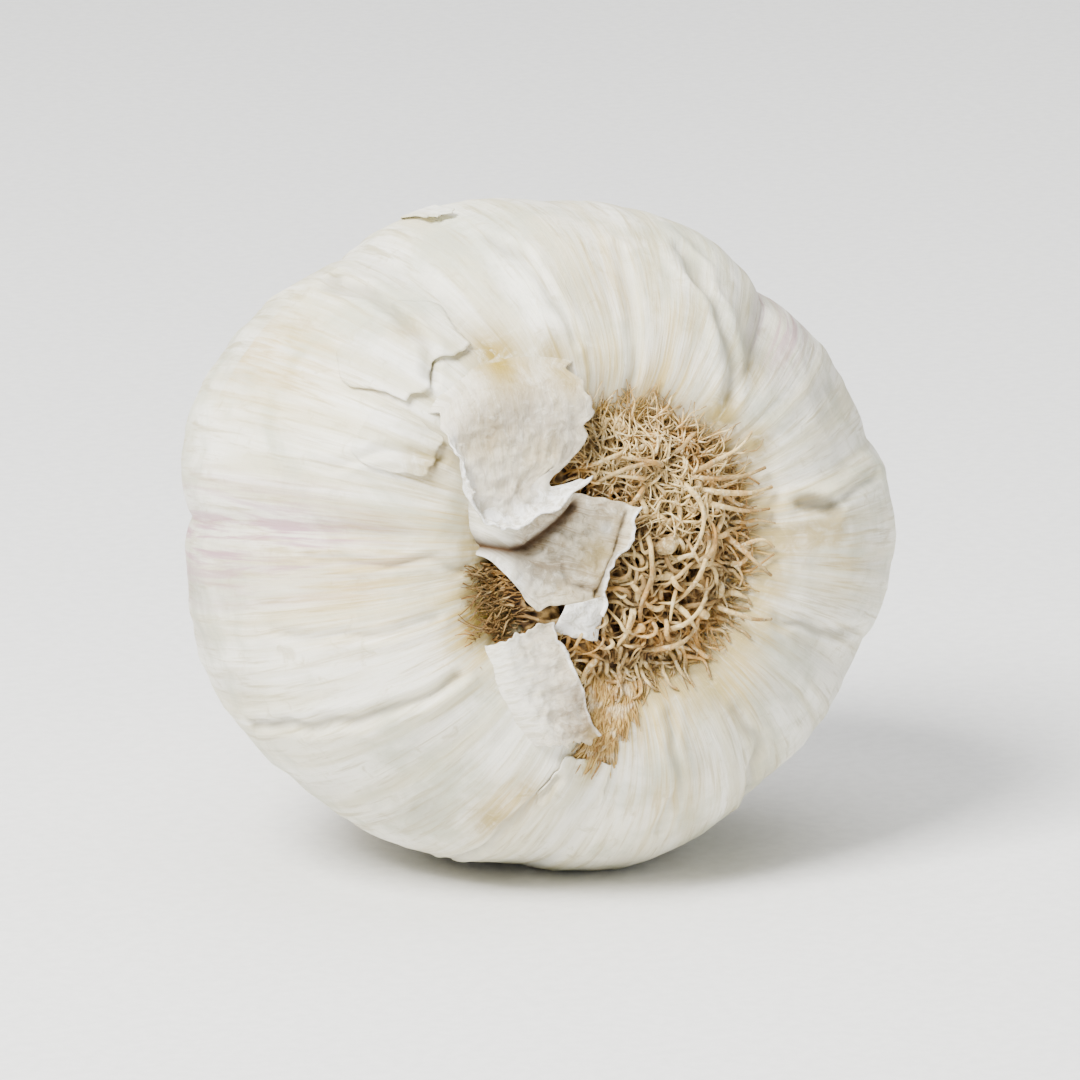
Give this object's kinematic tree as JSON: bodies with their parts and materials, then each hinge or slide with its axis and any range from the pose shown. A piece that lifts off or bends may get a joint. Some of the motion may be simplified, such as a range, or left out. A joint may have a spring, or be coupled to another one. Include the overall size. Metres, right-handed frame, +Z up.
{
  "type": "garlic bulb",
  "caption": "Whole dried garlic bulb in papery white skin, lying on its side, with a matted root plate, torn skin flaps and a short cut stem.",
  "frame": {"origin": "on the flat spot that the bulb rests on, under its axis at the widest ring", "axes": "+X right and +Z up as the root end faces the viewer, +Y from the root end to the stem along the floor"},
  "size_m": [0.0595, 0.0721, 0.0541],
  "materials": {
    "skin": "dry papery skin, satin, off-white with faint mauve and straw streaks",
    "stem": "dry fibrous straw, matte",
    "roots": "dried curled roots, matte golden brown",
    "inner_skin": "thin dry skin, matte, grey-beige with a mauve cast"
  },
  "bodies": {
    "root": {"bulb": "skin", "stem": "stem", "roots": "roots", "skin_flap_upper": "inner_skin", "skin_flap_middle": "inner_skin", "skin_flap_lower": "inner_skin"}
  },
  "joints": []
}
